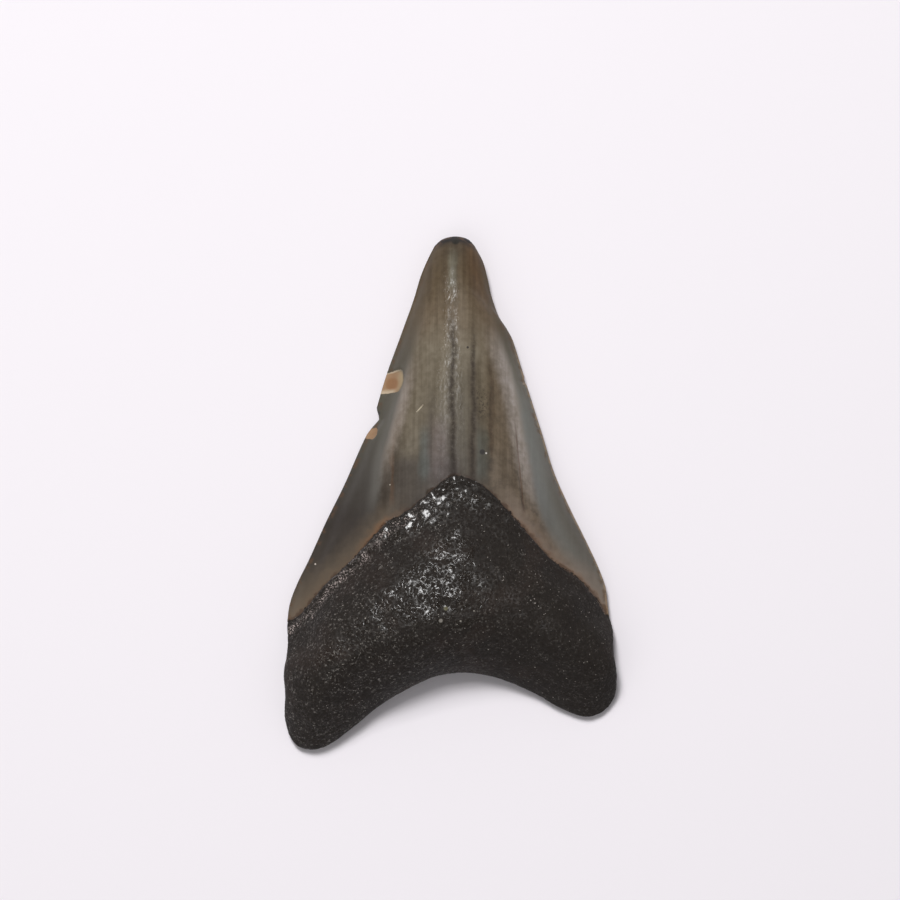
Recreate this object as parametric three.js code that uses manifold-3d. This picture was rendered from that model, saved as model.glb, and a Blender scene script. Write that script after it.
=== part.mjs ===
// A worn fossil megalodon tooth, lying flat: millimetres, +Z up, +Y towards the crown's tip.
// The bulging lingual face (the side that faced the tongue) is up, the flat labial face is down.
// The tooth grew as one piece, so it is one closed solid made of two sheets, an upper and a
// lower one, that meet along the outline. Each sheet is a crown patch above a root patch.
import * as THREE from 'three';
import { mergeVertices } from 'three/addons/utils/BufferGeometryUtils.js';
import Module from 'manifold-3d';

// Heights above the table
const tipHeight = 2.3;            // middle of the worn tip
const edgeHeight = 1.9;           // the cutting edges
const rootSideHeight = 4.5;       // widest line of the root's rounded sides
const lobeEndHeight = 1.2;        // the same line round the ends of the lobes
const archEdge = { x: -2, wide: 10.5, rise: 3.1 };   // and how it is lifted in the arch

// Crown
const crownLength = 32;           // tip to the top of the root, on the middle line
const ridgeRise = 6.9;            // middle ridge above the cutting edges, where the root starts
const bluntTip = { rise: 2.6, round: 6 };   // part of that rise within the blunt tip
const edgeThickness = 0.56;       // the worn cutting edges are round, not sharp
const edgeRound = 0.6;            // width of that rounding
const bladeGroove = { across: 0.69, width: 0.1, depth: 0.22 };   // shallow hollow beside each edge

// Root
const bulge = { y: -18.8, long: 16.5, rise: 6.9, top: 0.85 };   // highest along y, falls to the crown
const crest = { x: 1.5, soft: 1, fall: 0.1, radius: 56 };       // highest across, falls to both sides
const rimSwell = { share: 0.45, round: 2.5 };   // quick rounding just inside the root's sides
const shoulder = { rise: 0.95, run: 0.075 };   // step from enamel up to root, run as share of root
const lip = { rise: 0.4, place: 1.4, width: 0.9 };   // low roll along that step
const upperRound = 7;             // slower rounding of the root's sides, upper face
const lowerRound = 4.2;           // and lower face
const lumpHeight = 0.13;          // low lumps of the worn root

// Lower face: it rests on both lobes and on the crown below the tip
const archLift = 0.85;            // the face is hollow between these
const crownContactY = 19;
const lobeContactY = -24.5;
const crownWorn = 0.07;           // how much the contacts are worn flat
const lobesWorn = 0.12;
const tipLift = 1.1;
const enamelStep = 0.25;          // enamel stands proud of the root on the lower face

// Mesh
const columns = 38;
const crownRows = 29;
const rootRows = 21;

// Outline, from the tip down each side to the lobes, and along the arch between them
const tipArc = curve([[-2.0, 32.25], [-0.95, 33.12], [0.7, 33.47], [2.3, 33.1], [3.2, 32.2]]);

const leftCuttingEdge = curve([
  [-2.0, 32.25], [-2.95, 30.4], [-3.9, 28.1], [-4.8, 25.1], [-6.2, 21.2], [-8.4, 15.1],
  [-10.1, 9.4], [-11.9, 5.3], [-13.8, 0.9], [-16.1, -3.8], [-18.2, -8.5], [-19.9, -12.0],
  [-20.85, -14.6], [-21.17, -16.9],
]);

const rightCuttingEdge = curve([
  [3.2, 32.2], [4.3, 30.1], [4.9, 27.9], [5.25, 26.1], [5.75, 24.5], [6.35, 22.9], [7.35, 21.35],
  [8.2, 19.7], [9.2, 16.5], [10.6, 11.9], [12.1, 7.1], [13.5, 2.5], [15.4, -1.9],
  [17.2, -5.6], [19.0, -9.4], [20.1, -12.3], [20.35, -14.2], [20.6, -16.3],
]);

const leftRootSide = curve([
  [-21.17, -16.9], [-21.1, -19.3], [-21.4, -21.6], [-21.38, -24.0], [-21.22, -26.2],
  [-21.4, -29.3], [-20.95, -31.5],
]);

const rightRootSide = curve([
  [20.6, -16.3], [21.1, -18.3], [21.33, -21.0], [21.5, -24.6], [21.25, -26.6], [20.5, -27.9],
]);

const rootBase = curve([
  [-20.95, -31.5], [-19.9, -32.9], [-18.0, -33.47], [-15.9, -32.95], [-13.0, -31.0],
  [-9.3, -28.0], [-5.2, -25.6], [-1.2, -23.95], [2.4, -23.65], [6.0, -24.25], [10.3, -25.95],
  [14.4, -28.2], [17.3, -29.2], [19.2, -28.85], [20.5, -27.9],
]);

// Where the enamel ends on each face
const lingualBorder = curve([
  [-21.17, -16.9], [-19.1, -15.6], [-15.9, -12.1], [-12.2, -8.9], [-8.4, -4.9], [-5.8, -3.4],
  [-3.2, -1.4], [0.3, 1.35], [3.6, 0.5], [5.6, -0.9], [9.4, -5.0], [13.4, -9.3], [17.2, -12.0],
  [20.6, -16.3],
]);

const labialBorder = curve([
  [-21.17, -16.9], [-16.5, -15.3], [-10.5, -11.6], [-4.5, -8.6], [0.2, -7.7], [5.0, -8.5],
  [11.0, -11.3], [16.2, -14.4], [20.6, -16.3],
]);

// Damage: flat-floored flakes off the left blade and nicks through the edges, given by their
// outlines, and the nutrient pit in the bulge
const flakes = [
  {
    outline: [[-9.3, 12.9], [-7.7, 12.9], [-6.8, 13.3], [-6.3, 14.0], [-6.1, 15.7], [-6.5, 16.0],
      [-8.6, 15.6]],
    depth: 0.27,
  },
  {
    outline: [[-11.2, 6.9], [-10.1, 6.7], [-9.5, 7.2], [-9.5, 8.0], [-10.0, 8.4], [-10.9, 8.3]],
    depth: 0.2,
  },
];
const bladeSlope = THREE.MathUtils.degToRad(27);
const nicks = [
  [[-11.6, 11.2], [-10.6, 10.9], [-9.8, 10.5], [-9.25, 9.6], [-9.6, 8.8], [-10.5, 7.7], [-11.6, 7.2]],
  [[10.6, 14.9], [9.8, 14.6], [9.7, 14.3], [10.6, 13.7]],
];
const pit = { x: -0.5, y: -15.4, across: 1.7, along: 1.3, depth: 0.4 };

function curve(points) {
  return new THREE.SplineCurve(points.map(([x, y]) => new THREE.Vector2(x, y)));
}

function smooth(from, to, value) {
  return THREE.MathUtils.smoothstep(value, from, to);
}

function mix(a, b, share) {
  return a + (b - a) * share;
}

// Quarter circle: 0 on the rim, 1 from one radius inwards
function rounding(distance, radius) {
  const left = 1 - Math.min(distance / radius, 1);
  return Math.sqrt(1 - left * left);
}

// Closely spaced points of the root's outline, for the distance of a point from it
const rootRim = [leftRootSide, rootBase, rightRootSide].flatMap((side) => side.getSpacedPoints(150));

const rootTop = lingualBorder.getSpacedPoints(200);

function distanceTo(line, point) {
  return Math.min(...line.map((linePoint) => linePoint.distanceTo(point)));
}

// Surface patch between four boundary curves (a Coons patch), seen from above
function patchPoint(patch, u, v) {
  const top = patch.top.getPointAt(u);
  const bottom = patch.bottom.getPointAt(u);
  const left = patch.left.getPointAt(v);
  const right = patch.right.getPointAt(v);
  const upper = patch.top.getPointAt(0).lerp(patch.top.getPointAt(1), u);
  const lower = patch.bottom.getPointAt(0).lerp(patch.bottom.getPointAt(1), u);
  return top.lerp(bottom, v).add(left.lerp(right, u)).sub(upper.lerp(lower, v));
}

// Lens-shaped section of the crown: 1 on the ridge, 0 on the cutting edges
function crownSection(across) {
  return Math.pow(1 - across * across, 1.35);
}

function edgeBevel(across, halfWidth) {
  return edgeThickness / 2 * rounding((1 - Math.abs(across)) * halfWidth, edgeRound);
}

function crownRimHeight(down) {
  return mix(tipHeight, edgeHeight, smooth(0, 0.3, down));
}

function crownUpperHeight(across, halfWidth, down) {
  const tip = bluntTip.rise * rounding(down * crownLength, bluntTip.round);
  const ridge = tip + (ridgeRise - bluntTip.rise) * (1 - Math.pow(1 - down, 1.6));
  const fromGroove = (Math.abs(across) - bladeGroove.across) / bladeGroove.width;
  const groove = bladeGroove.depth * Math.exp(-fromGroove * fromGroove) * smooth(0.15, 0.5, down);
  const bevel = edgeBevel(across, halfWidth) * Math.sqrt(down);
  return crownRimHeight(down) + ridge * crownSection(across) + bevel - groove;
}

// How far the lower face stands off the table between its contacts
function lowerLift(y) {
  const middle = (crownContactY + lobeContactY) / 2;
  const reach = (crownContactY - lobeContactY) / 2;
  const along = Math.min(Math.abs(y - middle) / reach, 1);
  return archLift * Math.cos(along * Math.PI / 2) ** 2 + tipLift * smooth(crownContactY + 3, 33.5, y);
}

function crownLowerHeight(across, halfWidth, down, y) {
  const rim = crownRimHeight(down);
  const floor = lowerLift(y) - crownWorn;
  const belly = (1 - Math.pow(Math.abs(across), 2.4)) * rounding(down * crownLength, 2.5);
  return rim - (rim - floor) * belly - edgeBevel(across, halfWidth) * Math.min(1, down * 8) * 0.5;
}

function rootLumps(x, y) {
  const broad = Math.sin(0.95 * x + 0.4 * y) * Math.sin(0.9 * y - 0.35 * x + 1.3);
  const close = Math.sin(1.45 * x - 0.5 * y + 0.7) * Math.sin(1.5 * y + 0.45 * x);
  return lumpHeight * (0.5 * broad + 0.5 * close);
}

function rootRimHeight(x, down) {
  const arch = archEdge.rise * Math.exp(-(((x - archEdge.x) / archEdge.wide) ** 2));
  const side = mix(rootSideHeight, lobeEndHeight + arch, smooth(0.5, 1, down));
  return mix(edgeHeight, side, smooth(0, 0.45, down));
}

// How far the bulge stands up from the root's sides
function bulgeHeight(x, y) {
  const upwards = Math.max(y - bulge.y, 0) / bulge.long;
  const along = bulge.rise * (1 + bulge.top - Math.hypot(upwards, bulge.top));
  const sideways = x - crest.x;
  const right = crest.fall * (Math.hypot(sideways, crest.soft) + sideways) / 2;
  return along - sideways * sideways / (2 * crest.radius) - right;
}

function rootUpperHeight(across, halfWidth, down, point) {
  const fromRim = distanceTo(rootRim, point);
  const fromLip = (distanceTo(rootTop, point) - lip.place) / lip.width;
  const swell = 1 - (1 - Math.min(fromRim / upperRound, 1)) ** 2;
  const sideHeight = rootRimHeight(point.x, Math.max(down, 0.45 * smooth(0, 6, fromRim)));
  const rimRise = sideHeight * (1 + rimSwell.share * rounding(fromRim, rimSwell.round));
  const body = rimRise + bulgeHeight(point.x, point.y) * swell;
  const enamelEnd = ridgeRise * crownSection(across) + edgeBevel(across, halfWidth);
  const step = shoulder.rise * smooth(0, shoulder.run, down) * smooth(0, 3, fromRim);
  const start = rootRimHeight(point.x, down) + enamelEnd + step;
  const lumps = rootLumps(point.x, point.y) * smooth(0, 0.1, down) * swell;
  const roll = lip.rise * Math.exp(-fromLip * fromLip) * smooth(0, 3, fromRim);
  return mix(start, body, smooth(0, 0.38, down)) + lumps + roll;
}

function rootLowerHeight(across, down, point) {
  const rim = rootRimHeight(point.x, down);
  const recess = enamelStep * smooth(0, 0.05, down) * smooth(lobeContactY, lobeContactY + 8, point.y);
  const floor = lowerLift(point.y) + recess - mix(crownWorn, lobesWorn, smooth(0, 0.5, down));
  const crownBelly = 1 - Math.pow(Math.abs(across), 2.4);
  const rootBelly = rounding(distanceTo(rootRim, point), lowerRound);
  const lumps = 0.5 * rootLumps(point.y, point.x) * smooth(0, 0.1, down) * rootBelly;
  return rim - (rim - floor) * mix(crownBelly, rootBelly, smooth(0, 0.3, down)) + lumps;
}

// Steps from 0 to 1 that are about twice as close near both ends
function easedStep(index, count) {
  const even = index / count;
  return mix(even, 0.5 - 0.5 * Math.cos(Math.PI * even), 0.55);
}

// One row of points across a patch. Its ends, and the tip and base rows, lie on the outline,
// where both sheets have the height of the rim.
function patchRow(patch, down, isOutline, rimHeight, height) {
  const halfWidth = patch.left.getPointAt(down).distanceTo(patch.right.getPointAt(down)) / 2;
  return Array.from({ length: columns + 1 }, (_, column) => {
    const u = easedStep(column, columns);
    const point = patchPoint(patch, u, down);
    const onOutline = isOutline || column === 0 || column === columns;
    const z = onOutline ? rimHeight(point.x, down) : height(2 * u - 1, halfWidth, down, point);
    return new THREE.Vector3(point.x, point.y, Math.max(z, 0));
  });
}

// Rows of points of one sheet, tip first
function sheetRows(border, crownHeight, rootHeight) {
  const crown = { top: tipArc, bottom: border, left: leftCuttingEdge, right: rightCuttingEdge };
  const root = { top: border, bottom: rootBase, left: leftRootSide, right: rightRootSide };
  const rows = [];
  for (let step = 0; step <= crownRows; step += 1) {
    const down = Math.pow(step / crownRows, 1.15);
    rows.push(patchRow(crown, down, step === 0, (x, at) => crownRimHeight(at), crownHeight));
  }
  for (let step = 1; step <= rootRows; step += 1) {
    const down = easedStep(step, rootRows);
    rows.push(patchRow(root, down, step === rootRows, rootRimHeight, rootHeight));
  }
  return rows;
}

// Two triangles for each cell, their shared side pointing to the middle of the sheet
function sheetTriangles(rows, facesUp) {
  const corners = [];
  const lastRow = rows.length - 1;
  for (let j = 0; j < lastRow; j += 1) {
    for (let i = 0; i < columns; i += 1) {
      const a = rows[j][i];
      const b = rows[j][i + 1];
      const c = rows[j + 1][i + 1];
      const d = rows[j + 1][i];
      const slopesDown = (i < columns / 2) === (j < lastRow / 2);
      const cell = slopesDown ? [a, d, c, a, c, b] : [a, d, b, b, d, c];
      corners.push(...(facesUp ? cell : cell.reverse()));
    }
  }
  return corners;
}

function toothBody() {
  const upper = sheetRows(
    lingualBorder,
    (across, halfWidth, down) => crownUpperHeight(across, halfWidth, down),
    (across, halfWidth, down, point) => rootUpperHeight(across, halfWidth, down, point),
  );
  const lower = sheetRows(
    labialBorder,
    (across, halfWidth, down, point) => crownLowerHeight(across, halfWidth, down, point.y),
    (across, halfWidth, down, point) => rootLowerHeight(across, down, point),
  );
  const corners = [...sheetTriangles(upper, true), ...sheetTriangles(lower, false)];
  return mergeVertices(new THREE.BufferGeometry().setFromPoints(corners), 1e-3);
}

// Height of the upper face at a place
function topAt(geometry, x, y) {
  const down = new THREE.Raycaster(new THREE.Vector3(x, y, 50), new THREE.Vector3(0, 0, -1));
  return down.intersectObject(new THREE.Mesh(geometry))[0].point.z;
}

// Prism that takes a flake off the left blade, square to the blade's slope
function flakeCut(geometry, { outline, depth }) {
  const corners = outline.map(([x, y]) => new THREE.Vector2(x, y));
  const middle = corners.reduce((sum, corner) => sum.add(corner), new THREE.Vector2());
  middle.divideScalar(corners.length);
  const shape = new THREE.Shape(corners.map((corner) => corner.clone().sub(middle)));
  const prism = new THREE.ExtrudeGeometry(shape, { depth: 4, steps: 1, bevelEnabled: false });
  prism.rotateY(-bladeSlope);
  return prism.translate(middle.x, middle.y, topAt(geometry, middle.x, middle.y) - depth);
}

// Flattened ball that scoops a hollow of the given size out of the upper face
function scoop(geometry, { x, y, across, along, depth }) {
  const radius = (across * across / 4 + depth * depth) / (2 * depth);
  const ball = new THREE.SphereGeometry(radius, 18, 12);
  ball.scale(1, along / across, 1);
  return ball.translate(x, y, topAt(geometry, x, y) + radius - depth);
}

// Upright prism that bites into a cutting edge
function bite(outline) {
  const shape = new THREE.Shape(outline.map(([x, y]) => new THREE.Vector2(x, y)));
  return new THREE.ExtrudeGeometry(shape, { depth: 12, steps: 1, bevelEnabled: false }).translate(0, 0, -3);
}

const wasm = await Module();
wasm.setup();

function toSolid(geometry) {
  geometry.deleteAttribute('normal');
  geometry.deleteAttribute('uv');
  const merged = mergeVertices(geometry, 1e-4);
  return new wasm.Manifold(new wasm.Mesh({
    numProp: 3,
    vertProperties: merged.attributes.position.array,
    triVerts: new Uint32Array(merged.index.array),
  }));
}

function fromSolid(solid) {
  const mesh = solid.getMesh();
  const geometry = new THREE.BufferGeometry();
  geometry.setAttribute('position', new THREE.BufferAttribute(mesh.vertProperties, 3));
  geometry.setIndex(new THREE.BufferAttribute(mesh.triVerts, 1));
  geometry.computeVertexNormals();
  return geometry;
}

function damagedTooth() {
  const body = toothBody();
  const cuts = [...flakes.map((flake) => flakeCut(body, flake)), scoop(body, pit), ...nicks.map(bite)];
  return fromSolid(cuts.reduce((solid, cut) => solid.subtract(toSolid(cut)), toSolid(body)));
}

function toothMesh() {
  const material = new THREE.MeshStandardMaterial({ color: 0x57524b, roughness: 0.38, metalness: 0 });
  const mesh = new THREE.Mesh(damagedTooth(), material);
  mesh.name = 'tooth';
  return mesh;
}

const part = new THREE.Group();
part.add(toothMesh());

export default part;
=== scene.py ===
from itertools import product as combinations

import bpy
import numpy as np
from mathutils import Matrix, Vector


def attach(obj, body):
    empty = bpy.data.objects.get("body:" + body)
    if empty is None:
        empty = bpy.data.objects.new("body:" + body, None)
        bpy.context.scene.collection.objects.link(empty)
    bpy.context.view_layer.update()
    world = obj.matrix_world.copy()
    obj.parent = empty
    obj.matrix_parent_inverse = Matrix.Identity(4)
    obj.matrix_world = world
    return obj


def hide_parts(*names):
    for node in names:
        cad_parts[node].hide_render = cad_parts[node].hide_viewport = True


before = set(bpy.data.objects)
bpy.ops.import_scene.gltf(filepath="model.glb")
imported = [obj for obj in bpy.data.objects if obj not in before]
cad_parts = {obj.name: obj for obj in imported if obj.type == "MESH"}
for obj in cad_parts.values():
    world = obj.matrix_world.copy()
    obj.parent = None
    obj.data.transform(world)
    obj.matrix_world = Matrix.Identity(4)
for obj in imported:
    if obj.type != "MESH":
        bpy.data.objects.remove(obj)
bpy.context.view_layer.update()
print("frame loaded")

# Everything about the tooth is in millimetres until its mesh is made
millimetre = 0.001
tiny = 1e-12   # keeps a division from failing


# The tooth's form, the same as the solid that it covers
form = {
    "tipHeight": 2.3, "edgeHeight": 1.9, "rootSideHeight": 4.5, "lobeEndHeight": 1.2,   # of the outline
    "archX": -2.0, "archWide": 10.5, "archRise": 3.1,   # the outline is lifted in the arch
    "crownLength": 32.0,
    "ridgeRise": 6.9,   # middle of the crown above its edges, where it meets the root
    "tipRise": 2.6, "tipRound": 6.0,   # part of the ridge's rise that the blunt tip takes
    "rimSettles": (0, 0.3),   # shares of the crown's length over which its rim drops from the tip
    "sectionPower": 1.35, "ridgePower": 1.6,   # how full the crown is from side to side and lengthwise
    "bellyPower": 2.4, "bellyRound": 2.5,   # how flat the lower face is
    "edgeThickness": 0.56, "edgeRound": 0.6, "lowerBevel": 0.5, "bevelRun": 0.125,
    "grooveAcross": 0.69, "grooveWidth": 0.1, "grooveDepth": 0.22,   # hollow beside each edge
    "grooveDeepens": (0.15, 0.5),
    "bulgeY": -18.8, "bulgeLong": 16.5, "bulgeRise": 6.9, "bulgeTop": 0.85,   # bulge of the root
    "crestX": 1.2, "crestSoft": 0.8, "crestFall": 0.12, "sideRadius": 56.0,   # how it falls to the sides
    "bulgeSettles": 0.38,   # share of the root's length where the crown's section has faded out
    "sideSettles": 0.45, "lobesFall": (0.5, 1),   # shares where the root's rim rises and falls again
    "outlineReach": 6,   # how far in from the outline the rim's own height is felt
    "shoulderRise": 0.95, "shoulderRun": 0.022,   # step from the enamel up to the root
    "lipRise": 0.4, "lipPlace": 0.6, "lipWidth": 0.55,   # roll along that step
    "valleyDepth": 0.3, "valleyPlace": 4.4, "valleyWidth": 1.7,   # and the hollow behind it
    "rimSwell": 0.45, "rimRound": 2.5,   # the root swells just inside its rim
    "upperRound": 7.0, "lowerRound": 4.2,   # how wide the root is rounded off above and below
    "lowerSettles": 0.3,   # share of the root's length where its own rounding below has taken over
    "lumpHeight": 0.13, "lumpsBelow": 0.5,   # low lumps above, and their share of that height below
    "lumpsFrom": 0.1,   # share of the root's length where they are full
    "archLift": 0.85,   # the lower face is lifted between its contacts
    "crownContactY": 19.0, "lobeContactY": -24.5,
    "crownWorn": 0.07, "lobesWorn": 0.12, "wornChanges": 0.5,   # how flat the contacts are worn
    "tipLift": 1.1, "tipLifts": (22, 33.5),   # and the tip rises clear of the table, between these heights
    "enamelStep": 0.25, "stepWidth": 0.05, "stepFades": 8,   # the lower root lies behind the enamel
    "columns": 260, "crownRows": 130, "rootRows": 170,   # even numbers: the back is half as fine
    "rimCloser": 0.35, "tipCloser": 1.1,   # how much closer the columns and rows stand near the ends
}

# Its outline and the two enamel borders, x and y of the knots of smooth curves
outline = {
    "tip": [(-2.0, 32.25), (-0.95, 33.12), (0.7, 33.47), (2.3, 33.1), (3.2, 32.2)],
    "leftEdge": [
        (-2.0, 32.25), (-2.95, 30.4), (-3.9, 28.1), (-4.8, 25.1), (-6.2, 21.2), (-8.4, 15.1),
        (-10.1, 9.4), (-11.9, 5.3), (-13.8, 0.9), (-16.1, -3.8), (-18.2, -8.5), (-19.9, -12.0),
        (-20.85, -14.6), (-21.17, -16.9),
    ],
    "rightEdge": [
        (3.2, 32.2), (4.3, 30.1), (4.9, 27.9), (5.25, 26.1), (5.75, 24.5), (6.35, 22.9),
        (7.35, 21.35), (8.2, 19.7), (9.2, 16.5), (10.6, 11.9), (12.1, 7.1), (13.5, 2.5),
        (15.4, -1.9), (17.2, -5.6), (19.0, -9.4), (20.1, -12.3), (20.35, -14.2), (20.6, -16.3),
    ],
    "leftSide": [
        (-21.17, -16.9), (-21.1, -19.3), (-21.4, -21.6), (-21.38, -24.0), (-21.22, -26.2),
        (-21.4, -29.3), (-20.95, -31.5),
    ],
    "rightSide": [
        (20.6, -16.3), (21.1, -18.3), (21.33, -21.0), (21.5, -24.6), (21.25, -26.6), (20.5, -27.9),
    ],
    "base": [
        (-20.95, -31.5), (-19.9, -32.9), (-18.0, -33.47), (-15.9, -32.95), (-13.0, -31.0),
        (-9.3, -28.0), (-5.2, -25.6), (-1.2, -23.95), (2.4, -23.65), (6.0, -24.25),
        (10.3, -25.95), (14.4, -28.2), (17.3, -29.2), (19.2, -28.85), (20.5, -27.9),
    ],
    "lingualBorder": [
        (-21.17, -16.9), (-19.1, -15.6), (-15.9, -12.1), (-12.2, -8.9), (-8.4, -4.9), (-5.8, -3.4),
        (-3.2, -1.4), (0.3, 1.35), (3.6, 0.5), (5.6, -0.9), (9.4, -5.0), (13.4, -9.3),
        (17.2, -12.0), (20.6, -16.3),
    ],
    "labialBorder": [
        (-21.17, -16.9), (-16.5, -15.3), (-10.5, -11.6), (-4.5, -8.6), (0.2, -7.7), (5.0, -8.5),
        (11.0, -11.3), (16.2, -14.4), (20.6, -16.3),
    ],
}


def smooth(low, high, value):
    share = np.clip((value - low) / (high - low), 0, 1)
    return share * share * (3 - 2 * share)


def mix(a, b, share):
    return a + (b - a) * share


def rounding(distance, radius):   # quarter circle, 0 on the rim
    left = 1 - np.minimum(distance / radius, 1)
    return np.sqrt(1 - left * left)


def splinePath(knots, perKnot=60):   # Catmull-Rom curve through the knots
    points = np.array(knots, float)
    before = np.vstack([points[:1], points[:-2]])
    after = np.vstack([points[2:], points[-1:]])
    start, end = points[:-1], points[1:]
    startSlope, endSlope = (end - before) / 2, (after - start) / 2
    t = np.linspace(0, 1, perKnot, endpoint=False)[:, None, None]
    path = (
        (2 * t**3 - 3 * t**2 + 1) * start + (t**3 - 2 * t**2 + t) * startSlope
        + (3 * t**2 - 2 * t**3) * end + (t**3 - t**2) * endSlope
    )
    return np.vstack([path.transpose(1, 0, 2).reshape(-1, 2), points[-1:]])


def alongPath(path, shares):   # points at shares of the path's length
    steps = np.linalg.norm(np.diff(path, axis=0), axis=1)
    length = np.concatenate([[0], np.cumsum(steps)])
    length /= length[-1]
    return np.stack([np.interp(shares, length, path[:, axis]) for axis in (0, 1)], axis=-1)


def pathDistance(points, path):   # distance of each point from a line of points
    start, run = path[:-1], np.diff(path, axis=0)
    runSquared = np.maximum((run * run).sum(1), tiny)
    nearest = np.full(len(points), np.inf)
    for a, step, square in zip(start, run, runSquared):
        offset = points - a
        share = np.clip(offset @ step / square, 0, 1)
        nearest = np.minimum(nearest, ((offset - share[:, None] * step) ** 2).sum(1))
    return np.sqrt(nearest)


paths = {name: splinePath(knots) for name, knots in outline.items()}
everyNth = {"rootRim": 4, "border": 5, "cuttingEdge": 6}   # points of a path that distances are taken from

# Low lumps of the root: pairs of crossing waves, each with its run along x and y, and its shift
lumpWaves = [((0.95, 0.4, 0), (-0.35, 0.9, 1.3)), ((1.45, -0.5, 0.7), (0.45, 1.5, 0))]


# Ground shape: two sheets over the same outline, each a crown patch above a root patch

def patchPoints(top, bottom, left, right, across, down):
    u, v = across[None, :, None], down[:, None, None]
    topLine, bottomLine = alongPath(paths[top], across), alongPath(paths[bottom], across)
    leftLine, rightLine = alongPath(paths[left], down), alongPath(paths[right], down)
    ruled = (1 - v) * topLine + v * bottomLine + (1 - u) * leftLine[:, None] + u * rightLine[:, None]
    upper = (1 - u) * topLine[0] + u * topLine[-1]
    lower = (1 - u) * bottomLine[0] + u * bottomLine[-1]
    return ruled - (1 - v) * upper - v * lower


def patchWidth(left, right, down):
    return np.linalg.norm(alongPath(paths[left], down) - alongPath(paths[right], down), axis=1)[:, None]


def crownRim(down):
    return mix(form["tipHeight"], form["edgeHeight"], smooth(*form["rimSettles"], down))


def rootRim(x, down):
    arch = form["archRise"] * np.exp(-(((x - form["archX"]) / form["archWide"]) ** 2))
    side = mix(form["rootSideHeight"], form["lobeEndHeight"] + arch, smooth(*form["lobesFall"], down))
    return mix(form["edgeHeight"], side, smooth(0, form["sideSettles"], down))


def crownSection(q):   # q runs from -1 at the left edge to 1 at the right one
    return (1 - q * q) ** form["sectionPower"]


def edgeBevel(q, halfWidth):
    return form["edgeThickness"] / 2 * rounding((1 - np.abs(q)) * halfWidth, form["edgeRound"])


def lowerLift(y):
    middle = (form["crownContactY"] + form["lobeContactY"]) / 2
    reach = (form["crownContactY"] - form["lobeContactY"]) / 2
    along = np.minimum(np.abs(y - middle) / reach, 1)
    tip = form["tipLift"] * smooth(*form["tipLifts"], y)
    return form["archLift"] * np.cos(along * np.pi / 2) ** 2 + tip


def rootLumps(x, y):
    pairs = [[np.sin(runX * x + runY * y + shift) for runX, runY, shift in pair] for pair in lumpWaves]
    return form["lumpHeight"] * sum(0.5 * first * second for first, second in pairs)


def crownHeights(q, halfWidth, down, y, lingual):
    rim = crownRim(down)
    bevel = edgeBevel(q, halfWidth)
    if lingual:
        ridge = form["tipRise"] * rounding(down * form["crownLength"], form["tipRound"])
        ridge = ridge + (form["ridgeRise"] - form["tipRise"]) * (1 - (1 - down) ** form["ridgePower"])
        groove = np.exp(-(((np.abs(q) - form["grooveAcross"]) / form["grooveWidth"]) ** 2))
        groove = form["grooveDepth"] * groove * smooth(*form["grooveDeepens"], down)
        return rim + ridge * crownSection(q) + bevel * np.sqrt(down) - groove
    floor = lowerLift(y) - form["crownWorn"]
    belly = 1 - np.abs(q) ** form["bellyPower"]
    belly = belly * rounding(down * form["crownLength"], form["bellyRound"])
    return rim - (rim - floor) * belly - bevel * np.minimum(1, down / form["bevelRun"]) * form["lowerBevel"]


def rootHeights(q, halfWidth, down, x, y, rimDistance, lingual):
    rim = rootRim(x, down)
    if lingual:
        upwards = np.maximum(y - form["bulgeY"], 0) / form["bulgeLong"]
        dome = form["bulgeRise"] * (1 + form["bulgeTop"] - np.hypot(upwards, form["bulgeTop"]))
        sideways = x - form["crestX"]
        dome -= sideways**2 / (2 * form["sideRadius"])
        dome -= form["crestFall"] * (np.hypot(sideways, form["crestSoft"]) + sideways) / 2
        swell = 1 - (1 - np.minimum(rimDistance / form["upperRound"], 1)) ** 2
        settled = form["sideSettles"] * smooth(0, form["outlineReach"], rimDistance)
        inner = rootRim(x, np.maximum(down, settled))
        body = inner * (1 + form["rimSwell"] * rounding(rimDistance, form["rimRound"])) + dome * swell
        enamelEnd = form["ridgeRise"] * crownSection(q) + edgeBevel(q, halfWidth)
        step = form["shoulderRise"] * smooth(0, form["shoulderRun"], down)
        step = step * smooth(0, form["outlineReach"] / 2, rimDistance)
        lumps = rootLumps(x, y) * smooth(0, form["lumpsFrom"], down) * swell
        return mix(rim + enamelEnd + step, body, smooth(0, form["bulgeSettles"], down)) + lumps
    recess = form["enamelStep"] * smooth(0, form["stepWidth"], down)
    recess = recess * smooth(form["lobeContactY"], form["lobeContactY"] + form["stepFades"], y)
    worn = mix(form["crownWorn"], form["lobesWorn"], smooth(0, form["wornChanges"], down))
    floor = lowerLift(y) + recess - worn
    rounded = rounding(rimDistance, form["lowerRound"])
    belly = mix(1 - np.abs(q) ** form["bellyPower"], rounded, smooth(0, form["lowerSettles"], down))
    lumps = form["lumpsBelow"] * rootLumps(y, x) * smooth(0, form["lumpsFrom"], down) * rounded
    return rim - (rim - floor) * belly + lumps


def easedSteps(count, closer):   # 0 to 1, closer together near both ends
    even = np.linspace(0, 1, count + 1)
    return mix(even, 0.5 - 0.5 * np.cos(np.pi * even), closer)


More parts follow.
